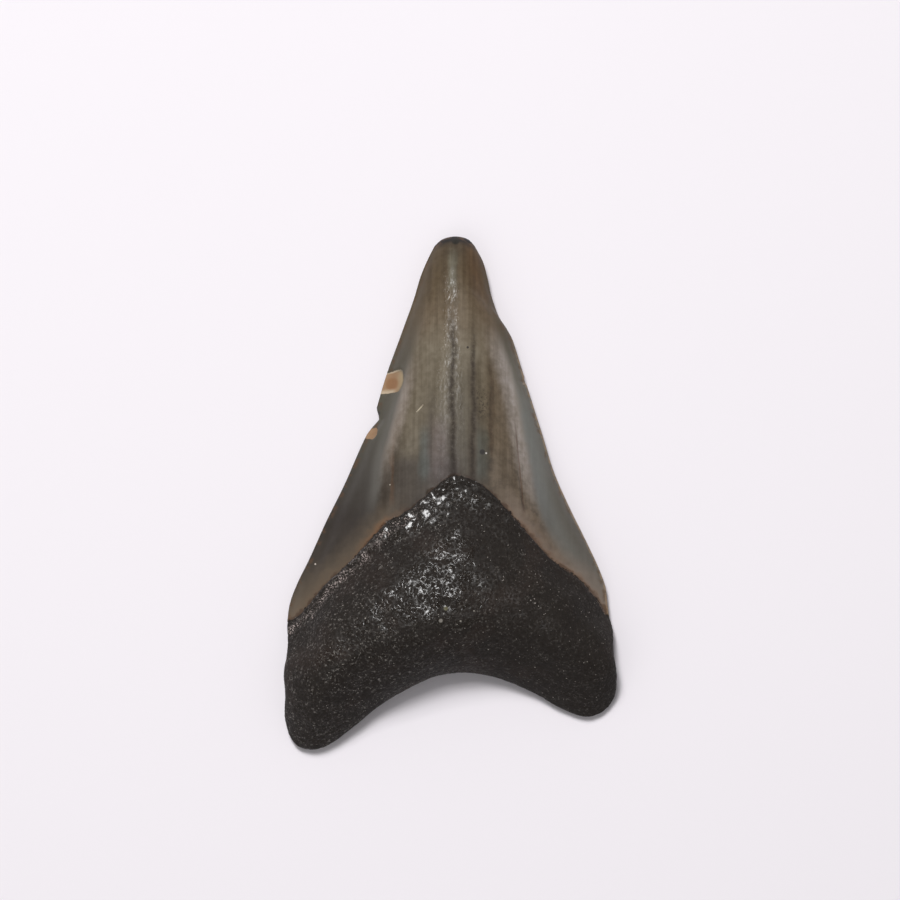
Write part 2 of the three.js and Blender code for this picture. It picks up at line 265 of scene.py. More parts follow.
def sheet(lingual):   # rows of points with what the surface needs to know about each
    across = easedSteps(form["columns"], form["rimCloser"])
    crownDown = np.linspace(0, 1, form["crownRows"] + 1) ** form["tipCloser"]
    rootDown = easedSteps(form["rootRows"], form["rimCloser"])[1:]
    border = "lingualBorder" if lingual else "labialBorder"
    q = np.broadcast_to(2 * across - 1, (len(crownDown), len(across)))
    step = everyNth["rootRim"]
    rimPath = np.vstack([paths["leftSide"][::step], paths["base"][::step], paths["rightSide"][::-step]])

    crownPlan = patchPoints("tip", border, "leftEdge", "rightEdge", across, crownDown)
    down = crownDown[:, None] + 0 * q
    halfWidth = patchWidth("leftEdge", "rightEdge", crownDown) / 2
    crownZ = crownHeights(q, halfWidth, down, crownPlan[..., 1], lingual)
    outlined = (np.abs(q) == 1) | (down == 0)
    crownZ = np.where(outlined, crownRim(down), crownZ)

    rootPlan = patchPoints(border, "base", "leftSide", "rightSide", across, rootDown)
    q = np.broadcast_to(2 * across - 1, (len(rootDown), len(across)))
    down = rootDown[:, None] + 0 * q
    halfWidth = patchWidth("leftSide", "rightSide", rootDown) / 2
    x, y = rootPlan[..., 0], rootPlan[..., 1]
    rimDistance = pathDistance(rootPlan.reshape(-1, 2), rimPath).reshape(x.shape)
    rootZ = rootHeights(q, halfWidth, down, x, y, rimDistance, lingual)
    outlined = (np.abs(q) == 1) | (down == 1)
    rootZ = np.where(outlined, rootRim(x, down), rootZ)

    plan = np.vstack([crownPlan, rootPlan])
    height = np.maximum(np.vstack([crownZ, rootZ]), 0)
    points = np.dstack([plan, height])
    grid = {
        "across": np.broadcast_to(2 * across - 1, height.shape),
        "down": np.concatenate([crownDown, 1 + rootDown])[:, None] + 0 * height,
    }
    return points, grid


def weldSheets():   # one closed skin: the lower sheet shares the upper one's outline
    upper, upperGrid = sheet(True)
    lower, lowerGrid = sheet(False)
    rows, columns = upper.shape[:2]
    ids = np.arange(rows * columns).reshape(rows, columns)
    a, b, c, d = ids[:-1, :-1], ids[:-1, 1:], ids[1:, 1:], ids[1:, :-1]
    faces = np.stack([a, d, c, b], axis=-1).reshape(-1, 4).tolist()

    lowerIds = ids.copy()   # its inner points are every second one
    innerRows, innerColumns = rows // 2 - 1, columns // 2 - 1
    inner = rows * columns + np.arange(innerRows * innerColumns)
    lowerIds[2:-2:2, 2:-2:2] = inner.reshape(innerRows, innerColumns)
    for row in range(0, rows - 1, 2):
        for column in range(0, columns - 1, 2):
            ring = [(row, column)]
            if row == 0:
                ring.append((row, column + 1))
            ring.append((row, column + 2))
            if column + 2 == columns - 1:
                ring.append((row + 1, column + 2))
            ring.append((row + 2, column + 2))
            if row + 2 == rows - 1:
                ring.append((row + 2, column + 1))
            ring.append((row + 2, column))
            if column == 0:
                ring.append((row + 1, column))
            faces.append([int(lowerIds[place]) for place in ring])

    def stack(a, b):
        inside = b[2:-2:2, 2:-2:2]
        return np.concatenate([a.reshape(-1, *a.shape[2:]), inside.reshape(-1, *a.shape[2:])])

    points = stack(upper, lower)
    fields = {name: stack(upperGrid[name], lowerGrid[name]) for name in upperGrid}
    fields["lingual"] = stack(np.ones((rows, columns)), np.zeros((rows, columns)))
    return points, fields, faces


points, fields, faces = weldSheets()
print("ground shape made,", len(points), "points")


# Seeded noise for the relief; a noise of several sizes takes the seeds that follow its own too
seeds = {
    "bend": (1, 2, 3), "swell": 11, "rough": 12, "pores": 13, "hammer": 14, "lines": 15, "cracks": 16,
    "lip": 18, "beads": 19, "sway": 31, "flakes": 41, "flats": 51,
    "poreDepth": 7,   # added to the pores' own
}

# Large odd numbers that scramble a cell's numbers, and the bits that are kept
scramble = {"x": 73856093, "y": 19349663, "z": 83492791, "seed": 2654435761, "again": 1274126177}
keptBits, lastBits = 0xFFFFFFFF, 0xFFFFFF


def hashed(cell, seed):   # a steady random number from 0 to 1 for each whole-numbered cell
    mixed = seed * scramble["seed"]
    for axis, name in enumerate("xyz"):
        mixed = mixed ^ (cell[..., axis].astype(np.int64) * scramble[name])
    mixed = (mixed ^ (mixed >> 13)) & keptBits
    mixed = (mixed * scramble["again"]) & keptBits
    return ((mixed ^ (mixed >> 16)) & lastBits) / lastBits


def cloud(places, size, seed):   # smooth noise, about -1 to 1
    inCells = places / size
    cell = np.floor(inCells).astype(int)
    part = inCells - cell
    fade = part * part * (3 - 2 * part)
    total = np.zeros(len(places))
    for corner in combinations((0, 1), repeat=3):
        weight = np.prod(np.where(np.array(corner) == 1, fade, 1 - fade), axis=1)
        total += weight * hashed(cell + np.array(corner), seed)
    return 2 * total - 1


def clouds(places, waves, firstSeed):   # noises added up, each with its reach and size
    return sum(reach * cloud(places, size, firstSeed + step) for step, (reach, size) in enumerate(waves))


def pores(places, size, seed):   # 0 on the ridges between scattered cells, 1 in their middles
    inCells = places / size
    cell = np.floor(inCells).astype(int)
    first = np.full(len(places), np.inf)
    second = np.full(len(places), np.inf)
    depth = np.zeros(len(places))
    for offset in combinations((-1, 0, 1), repeat=3):
        near = cell + np.array(offset)
        centre = near + np.stack([hashed(near, seed + axis) for axis in range(3)], axis=1)
        distance = np.linalg.norm(inCells - centre, axis=1)
        closer = distance < first
        second = np.where(closer, first, np.minimum(second, distance))
        depth = np.where(closer, hashed(near, seed + seeds["poreDepth"]), depth)
        first = np.minimum(first, distance)
    return smooth(*relief["poreWall"], second - first) * mix(relief["poreLeast"], 1, depth)


# Relief that is finer than the ground shape
relief = {
    "rootBegins": (-0.02, 0.35),   # distances past the enamel's border
    "poreSize": 0.7, "poreDepth": 0.045, "poreLeast": 0.25,   # share of the depth of the shallowest
    "poreWall": (0.02, 0.45),   # how steeply a pore falls, in shares of its size
    "bendSize": 1.1, "bendReach": 0.25,   # noise that bends the pores out of line
    "swellSize": 2.4, "swellHeight": 0.05,
    "roughSize": 0.9, "roughHeight": 0.02,
    "lipUneven": 0.35, "lipSize": 1.2, "lipFades": (0.3, 3.5),   # the roll dies away towards the edges
    "lipRight": 0.5, "lipLower": (0.2, 0.5),   # and is lower on the right, past these shares of the width
    "beadSize": 0.9, "beadHeight": 0.22, "beadFades": (0.3, 3.0),   # beads along the root's upper edge
    "beadBand": (3.6, 1.6), "beadMiddle": -0.35, "beadSides": (0.85, 0.5),
    "grooveDepth": 0.06, "groovePlace": 0.2, "grooveWidth": 0.22,   # fine groove along the border
    "hammerSize": 1.3, "hammerHeight": 0.012, "hammerSides": (0.35, 0.1),   # dents on the crown's ridge
    "lineSize": 0.8, "lineStretch": 0.1, "lineHeight": 0.006,   # growth lines down the crown
    "crackFade": 8, "crackShare": 0.7, "crackSize": 0.8,
    "crackSway": ((0.16, 1.5), (0.05, 0.4)),   # how far and over what size the cracks sway
    "knotPoints": 12,   # points for each knot of a crack or a streak
    "flakeRagged": 0.05, "flakeRaggedSize": 0.35, "flakeStep": (-0.12, 0.26),
    "thinEdge": 1.2,   # the relief dies away this near the cutting edge
    "nickReach": 2.4,   # how far in from the edge a nick pulls the skin
    "flatTilt": (0.065, -0.149),   # slope of the melted flats along x and y
    "flatRagged": ((0.3, 0.5), (0.2, 0.25)), "flatSheen": 1.2,   # their ragged outline, and their gloss
}

# Melted-looking flats along the top of the root, tilted towards the light: x, y and radius
flats = [
    (-2.86, -2.35, 0.62), (-2.86, -3.52, 0.78), (-2.0, -1.14, 0.6), (-1.17, -2.1, 0.5),
    (-4.75, -3.8, 0.66), (-5.0, -5.0, 0.6), (-7.85, -5.3, 0.5), (-8.1, -6.45, 0.5),
    (0.72, 0.9, 0.5), (-0.72, -0.5, 0.36), (2.1, -0.66, 0.32), (3.4, -0.4, 0.3),
    (-1.6, -3.2, 0.36), (1.2, -0.3, 0.3), (0.2, -2.4, 0.3), (1.0, -2.9, 0.28),
    (-5.9, -5.8, 0.36), (-3.9, -4.9, 0.3), (-0.6, -1.6, 0.34), (-2.1, -4.5, 0.3),
    (0.0, -3.6, 0.26), (2.6, -1.5, 0.24), (-4.1, -2.7, 0.34), (-9.4, -7.0, 0.3), (-10.9, -8.2, 0.26),
]

# Cracks that run down the crown: their knots, half width, depth and how dark they are
cracks = [
    ([(0.2, 26.0), (0.3, 21.9), (0.5, 17.9), (0.35, 13.2), (0.6, 8.6), (0.5, 4.7), (0.7, 1.2)],
     0.46, 0.045, 0.85),
    ([(3.2, 24.0), (3.05, 17.3), (3.15, 13.3), (3.2, 8.7), (3.0, 5.4), (3.1, 0.9)], 0.36, 0.035, 0.8),
    ([(5.4, 18.8), (5.5, 13.4), (5.35, 10.1), (5.45, 2.1)], 0.34, 0.015, 0.4),
    ([(8.7, 6.4), (8.9, 2.4), (9.2, -0.3), (9.6, -2.9)], 0.1, 0.03, 0.6),
    ([(-2.5, 16.6), (-2.3, 10.0), (-2.4, 3.4)], 0.24, 0.01, 0.3),
    ([(-5.7, 7.5), (-6.0, 4.2), (-6.1, -0.3), (-6.4, -3.0)], 0.2, 0.01, 0.3),
]

# Flakes off the left blade: corners of each outline, and depth
flakes = [
    ([(-9.3, 12.7), (-7.8, 12.7), (-6.7, 12.8), (-6.2, 13.5), (-5.95, 14.5), (-6.1, 15.6), (-6.5, 15.95),
      (-8.6, 15.5)], 0.27),
    ([(-11.2, 6.9), (-10.1, 6.7), (-9.5, 7.2), (-9.5, 8.0), (-10.0, 8.4), (-10.9, 8.3)], 0.2),
]

# Bites out of the cutting edges: x of the edge, and how deep it goes at heights down the edge
nicks = [
    (-10.1, [(10.9, 0), (10.5, 0.25), (10.0, 0.6), (9.55, 0.85), (9.1, 0.7), (8.3, 0.32), (7.4, 0)]),
    (9.85, [(14.9, 0), (14.55, 0.16), (14.2, 0.12), (13.8, 0)]),
]

# Middles of the two pale streaks between the body and the blades
streaks = {
    "left": [
        (-1.4, 33), (-2.0, 28), (-2.8, 23.5), (-3.7, 19.5), (-4.5, 16.1), (-5.1, 13.5), (-6.0, 9.6),
        (-6.9, 6.3), (-7.6, 3.7), (-8.2, -0.2), (-8.6, -4.2), (-9.2, -9.0), (-11.0, -17.0),
    ],
    "right": [
        (2.3, 33), (4.0, 26), (5.2, 21.4), (6.1, 18.2), (7.1, 14.9), (8.0, 11.7), (8.7, 7.7),
        (9.5, 3.7), (10.4, -1.5), (11.7, -5.4), (13.2, -8.0), (16.5, -12.0),
    ],
}

# The root's largest pore, with sand in it
pit = {"x": -0.5, "y": -15.4, "across": 0.85, "along": 0.65, "depth": 0.4}


def insideDepth(points, corners):   # distance inside a closed outline, below 0 outside
    loop = np.array(corners + corners[:1], float)
    distance = pathDistance(points, loop)
    inside = np.zeros(len(points), bool)
    for (ax, ay), (bx, by) in zip(loop[:-1], loop[1:]):
        spans = (ay > points[:, 1]) != (by > points[:, 1])
        crossing = ax + (points[:, 1] - ay) * (bx - ax) / np.where(by == ay, tiny, by - ay)
        inside ^= spans & (points[:, 0] < crossing)
    return np.where(inside, distance, -distance)


def outwardFromStreaks(plan):   # distance outwards from the nearer side's streak, below 0 between them
    sides = []
    for knots, outwards in ((streaks["left"], -1), (streaks["right"], 1)):
        path = splinePath(knots, relief["knotPoints"])[::-1]
        middle = np.interp(plan[:, 1], path[:, 1], path[:, 0])
        slope = np.interp(plan[:, 1], path[:-1, 1], np.diff(path[:, 0]) / np.diff(path[:, 1]))
        sides.append(outwards * (plan[:, 0] - middle) / np.hypot(1, slope))
    return np.maximum(*sides)


def surfaceFields():
    plan = points[:, :2]
    below = fields["down"] - 1
    lingual = fields["lingual"] > 0.5
    step = everyNth["border"]
    borders = [pathDistance(plan, paths[name][::step]) for name in ("lingualBorder", "labialBorder")]
    toBorder = np.where(lingual, *borders)
    fields["border"] = np.where(below > 0, toBorder, -toBorder)
    step = everyNth["cuttingEdge"]
    rim = np.vstack([paths["leftEdge"][::-step], paths["tip"][::step], paths["rightEdge"][::step]])
    fields["edge"] = pathDistance(plan, rim)
    fields["outward"] = outwardFromStreaks(plan)
    for name in ("crack", "crackDepth", "melted"):
        fields[name] = np.zeros(len(plan))
    sway = clouds(points, relief["crackSway"], seeds["sway"])
    swayed = plan + np.stack([sway, 0 * sway], axis=1)
    for knots, halfWidth, depth, darkness in cracks:
        distance = pathDistance(swayed, splinePath(knots, relief["knotPoints"]))
        ends = smooth(0, relief["crackFade"], knots[0][1] - plan[:, 1])
        strength = np.exp(-((distance / halfWidth) ** 2)) * ends * lingual
        fields["crack"] = np.maximum(fields["crack"], strength * darkness)
        fields["crackDepth"] = np.maximum(fields["crackDepth"], strength * depth)
    farOutside = -5.0
    fields["flake"] = np.full(len(plan), farOutside)
    for corners, depth in flakes:
        ragged = relief["flakeRagged"] * cloud(points, relief["flakeRaggedSize"], seeds["flakes"])
        ragged = insideDepth(plan, corners) + ragged
        fields["flake"] = np.maximum(fields["flake"], np.where(lingual, ragged, farOutside))


def biteEdges():   # pushes the skin inwards round each nick, so that the edge is bitten
    for x, profile in nicks:
        heights, depths = np.array(profile[::-1], float).T
        bite = np.interp(points[:, 1], heights, depths)
        reach = np.clip(1 - np.abs(points[:, 0] - x) / relief["nickReach"], 0, 1)
        points[:, 0] -= np.sign(x) * bite * reach


def skinNormals():
    mesh = bpy.data.meshes.new("trial")
    mesh.from_pydata(points.tolist(), [], faces)
    normals = np.empty(len(points) * 3)
    mesh.vertices.foreach_get("normal", normals)
    bpy.data.meshes.remove(mesh)
    return normals.reshape(-1, 3)


def ringed(distance, place, width):   # 1 along a line at that distance, fading on both sides
    return np.exp(-(((distance - place) / width) ** 2))


def carve():
    global points
    normals = skinNormals()
    fields["upward"] = normals[:, 2]
    lingual, border, edge = fields["lingual"], fields["border"], fields["edge"]
    across = fields["across"]
    rootness = smooth(*relief["rootBegins"], border)
    bends = np.stack([cloud(points, relief["bendSize"], seed) for seed in seeds["bend"]], axis=1)
    bed = points + relief["bendReach"] * bends
    height = relief["swellHeight"] * cloud(points, relief["swellSize"], seeds["swell"])
    height += relief["roughHeight"] * cloud(points, relief["roughSize"], seeds["rough"])
    height += relief["poreDepth"] * (0.5 - pores(bed, relief["poreSize"], seeds["pores"]))
    height *= rootness
    lip = ringed(border, form["lipPlace"], form["lipWidth"]) * rootness * lingual
    lower = mix(1, relief["lipRight"], smooth(*relief["lipLower"], across))
    lip *= lower * smooth(*relief["lipFades"], edge)
    uneven = 1 + relief["lipUneven"] * cloud(points, relief["lipSize"], seeds["lip"])
    height += form["lipRise"] * lip * uneven
    height -= form["valleyDepth"] * ringed(border, form["valleyPlace"], form["valleyWidth"]) * lingual
    beads = np.maximum(cloud(points, relief["beadSize"], seeds["beads"]), 0)
    beads *= smooth(*relief["beadBand"], border)
    beads *= smooth(*relief["beadSides"], np.abs(across - relief["beadMiddle"]))
    height += relief["beadHeight"] * beads * rootness * lingual * smooth(*relief["beadFades"], edge)
    height -= relief["grooveDepth"] * ringed(border, relief["groovePlace"], relief["grooveWidth"])
    ridge = smooth(*relief["hammerSides"], np.abs(across)) * lingual * (1 - rootness)
    height += relief["hammerHeight"] * cloud(points, relief["hammerSize"], seeds["hammer"]) * ridge
    drawn = points * np.array([1, relief["lineStretch"], 0])
    lines = cloud(drawn, relief["lineSize"], seeds["lines"])
    height += relief["lineHeight"] * lines * (1 - rootness)
    uneven = (1 - relief["crackShare"]) * cloud(points, relief["crackSize"], seeds["cracks"])
    height -= fields["crackDepth"] * (relief["crackShare"] + uneven)
    for corners, depth in flakes:
        inside = insideDepth(points[:, :2], corners) * lingual - (1 - lingual)
        height -= depth * smooth(*relief["flakeStep"], inside)
    pitX, pitY = (points[:, 0] - pit["x"]) / pit["across"], (points[:, 1] - pit["y"]) / pit["along"]
    height -= pit["depth"] * np.exp(-(pitX**2 + pitY**2)) * lingual
    thin = rounding(edge, relief["thinEdge"]) * (1 - rootness) + rootness
    points = points + normals * (height * thin)[:, None]


def flattenMelted():   # turns each melted place into a small tilted flat
    ragged = 1 + clouds(points, relief["flatRagged"], seeds["flats"])
    tiltX, tiltY = relief["flatTilt"]
    for x, y, radius in flats:
        sideways, upwards = points[:, 0] - x, points[:, 1] - y
        away = np.hypot(sideways, upwards) / radius * ragged
        share = np.exp(-(away**4)) * fields["lingual"]
        level = np.sum(points[:, 2] * share) / np.sum(share)
        points[:, 2] = mix(points[:, 2], level + tiltX * sideways + tiltY * upwards, share)
        sheen = np.exp(-((away / relief["flatSheen"]) ** 4)) * fields["lingual"]
        fields["melted"] = np.maximum(fields["melted"], sheen)
    points[:, 2] = np.maximum(points[:, 2], 0)


surfaceFields()
biteEdges()
carve()
flattenMelted()
print("relief carved")


def toothMesh():
    mesh = bpy.data.meshes.new("fossilTooth")
    mesh.from_pydata((points * millimetre).tolist(), [], faces)
    mesh.shade_smooth()
    for name in ("across", "border", "edge", "outward", "crack", "flake", "melted", "upward"):
        values = mesh.attributes.new(name, "FLOAT", "POINT")
        values.data.foreach_set("value", fields[name].astype(np.float32))
    mesh.update()
    piece = bpy.data.objects.new("fossilTooth", mesh)
    bpy.context.collection.objects.link(piece)
    return piece


fossilTooth = toothMesh()
print("tooth mesh made,", sum(len(face) - 2 for face in faces), "triangles")


# Small helpers for building node trees

def srgb(red, green, blue):   # screen colour 0 to 255 to the linear colour that nodes take
    channels = np.array([red, green, blue]) / 255
    linear = np.where(channels <= 0.04045, channels / 12.92, ((channels + 0.055) / 1.055) ** 2.4)
    return (*linear.tolist(), 1.0)


def plug(tree, value, socket):
    if isinstance(value, bpy.types.NodeSocket):
        tree.links.new(value, socket)
    else:
        socket.default_value = value


def maths(tree, operation, *values):
    node = tree.nodes.new("ShaderNodeMath")
    node.operation = operation
    for value, socket in zip(values, node.inputs):
        plug(tree, value, socket)
    return node.outputs[0]


def product(tree, *values):
    total = values[0]
    for value in values[1:]:
        total = maths(tree, "MULTIPLY", total, value)
    return total


def scaled(tree, value, factor, offset):   # value times factor, plus offset
    return maths(tree, "MULTIPLY_ADD", value, factor, offset)


def opposite(tree, value):   # 1 where the value is 0, and 0 where it is 1
    return maths(tree, "SUBTRACT", 1.0, value)


def strayed(tree, value, wander, reach):   # a value that a noise moves by half the reach each way
    return maths(tree, "ADD", value, scaled(tree, wander, reach, -reach / 2))


def spread(tree, value, low, high, toLow=0.0, toHigh=1.0):   # smooth step between two values
    node = tree.nodes.new("ShaderNodeMapRange")
    node.interpolation_type = "SMOOTHSTEP"
    for amount, socket in zip((value, low, high, toLow, toHigh), node.inputs):
        plug(tree, amount, socket)
    return node.outputs[0]


def blend(tree, share, first, second, how="MIX"):
    node = tree.nodes.new("ShaderNodeMix")
    node.data_type = "RGBA"
    node.blend_type = how
    plug(tree, share, node.inputs["Factor"])
    plug(tree, first, node.inputs[6])   # colour A
    plug(tree, second, node.inputs[7])   # colour B
    return node.outputs[2]


def between(tree, share, first, second):   # a value between two others
    node = tree.nodes.new("ShaderNodeMix")
    plug(tree, share, node.inputs["Factor"])
    plug(tree, first, node.inputs[2])   # number A
    plug(tree, second, node.inputs[3])   # number B
    return node.outputs[0]


def noise(tree, vector, scale, detail=2.0, roughness=0.5):
    node = tree.nodes.new("ShaderNodeTexNoise")
    plug(tree, vector, node.inputs["Vector"])
    plug(tree, scale, node.inputs["Scale"])
    plug(tree, detail, node.inputs["Detail"])
    plug(tree, roughness, node.inputs["Roughness"])
    return node.outputs["Fac"]


def cells(tree, vector, scale, feature="F1"):
    node = tree.nodes.new("ShaderNodeTexVoronoi")
    node.feature = feature
    plug(tree, vector, node.inputs["Vector"])
    plug(tree, scale, node.inputs["Scale"])
    return node.outputs["Distance"]


def attribute(tree, name):
    node = tree.nodes.new("ShaderNodeAttribute")
    node.attribute_name = name
    return node.outputs["Fac"]


def stretched(tree, vector, x, y, z):
    node = tree.nodes.new("ShaderNodeMapping")
    plug(tree, vector, node.inputs["Vector"])
    node.inputs["Scale"].default_value = (x, y, z)
    return node.outputs["Vector"]


def shaken(tree, vector, scale, reach):   # bends the places about, so that no pattern stays regular
    node = tree.nodes.new("ShaderNodeTexNoise")
    plug(tree, vector, node.inputs["Vector"])
    node.inputs["Scale"].default_value = scale
    shift = tree.nodes.new("ShaderNodeVectorMath")
    shift.operation = "MULTIPLY_ADD"
    plug(tree, node.outputs["Color"], shift.inputs[0])
    shift.inputs[1].default_value = (reach, reach, reach)
    plug(tree, vector, shift.inputs[2])
    return shift.outputs[0]


def axes(tree, vector):
    node = tree.nodes.new("ShaderNodeSeparateXYZ")
    plug(tree, vector, node.inputs[0])
    return node.outputs[0], node.outputs[1], node.outputs[2]


def heightRamp(tree, height, stops):   # blends the stops' colours along the height
    low, high = stops[-1][0], stops[0][0]
    node = tree.nodes.new("ShaderNodeValToRGB")
    plug(tree, scaled(tree, height, 1 / (high - low), -low / (high - low)), node.inputs[0])
    elements = node.color_ramp.elements
    elements[0].color = srgb(*stops[-1][1])
    elements[1].color = srgb(*stops[0][1])
    for place, colour in stops[1:-1]:
        elements.new((place - low) / (high - low)).color = srgb(*colour)
    return node.outputs[0]


# Soft ends of a round mark, in squares of its radius, and of a stripe, in half widths and millimetres
softness = {"mark": (1.6, 0.4), "stripeSides": (1.7, 0.3), "stripeTop": 3, "stripeBottom": 2}


def mark(tree, x, y, middleX, middleY, radius):   # round soft-edged spot, 1 in its middle
    aside, along = maths(tree, "SUBTRACT", x, middleX), maths(tree, "SUBTRACT", y, middleY)
    away = scaled(tree, aside, aside, product(tree, along, along))
    return spread(tree, away, *[radius**2 * share for share in softness["mark"]])


def stripe(tree, x, y, middle, halfWidth, top, bottom):   # soft upright band, 1 along its middle
    aside = maths(tree, "ABSOLUTE", maths(tree, "SUBTRACT", x, middle))
    upperEnd = spread(tree, y, top, top - softness["stripeTop"])
    lowerEnd = spread(tree, y, bottom, bottom + softness["stripeBottom"])
    sides = spread(tree, aside, *[halfWidth * share for share in softness["stripeSides"]])
    return product(tree, sides, maths(tree, "MINIMUM", upperEnd, lowerEnd))


# Looks are laid on in layers. A look's fields are its named values over the surface, and each mask of a
# layer is a field alone, or a field with the two values between which the layer fades in and, where
# they aren't 0 and 1, the shares at those values.

def lookFields(tree, place, attributes, noises):
    fields = {name: attribute(tree, name) for name in attributes}
    fields["x"], fields["y"], _ = axes(tree, place)
    fields.update({name: noise(tree, place, *settings) for name, settings in noises.items()})
    return fields


def overlap(tree, fields, masks):   # where all of the masks are on
    shares = []
    for mask in masks:
        if isinstance(mask, str):
            shares.append(fields[mask])
        else:
            name, *span = mask
            shares.append(spread(tree, fields[name], *span))
    return product(tree, *shares)


def layered(tree, fields, colour, layers):   # each layer: its colour, its strength and its masks
    for tint, strength, *masks in layers:
        share = product(tree, overlap(tree, fields, masks), strength)
        colour = blend(tree, share, colour, tint)
    return colour


def spotted(tree, fields, colour, spots):   # small marks: x, y, radius and colour
    for x, y, radius, tint in spots:
        share = mark(tree, fields["x"], fields["y"], x, y, radius)
        colour = blend(tree, share, colour, srgb(*tint))
    return colour


def newLook(name):   # group that turns a place in millimetres into a colour, roughness and height
    group = bpy.data.node_groups.new(name, "ShaderNodeTree")
    group.interface.new_socket(name="Place", in_out="INPUT", socket_type="NodeSocketVector")
    group.interface.new_socket(name="Color", in_out="OUTPUT", socket_type="NodeSocketColor")
    for label in ("Roughness", "Height"):
        group.interface.new_socket(name=label, in_out="OUTPUT", socket_type="NodeSocketFloat")
    return group, group.nodes.new("NodeGroupInput").outputs["Place"]


def finishLook(group, colour, rough, height):
    outside = group.nodes.new("NodeGroupOutput")
    for value, name in ((colour, "Color"), (rough, "Roughness"), (height, "Height")):
        group.links.new(value, outside.inputs[name])
    return group


tan = srgb(122, 86, 56)
crackDark = srgb(38, 29, 23)

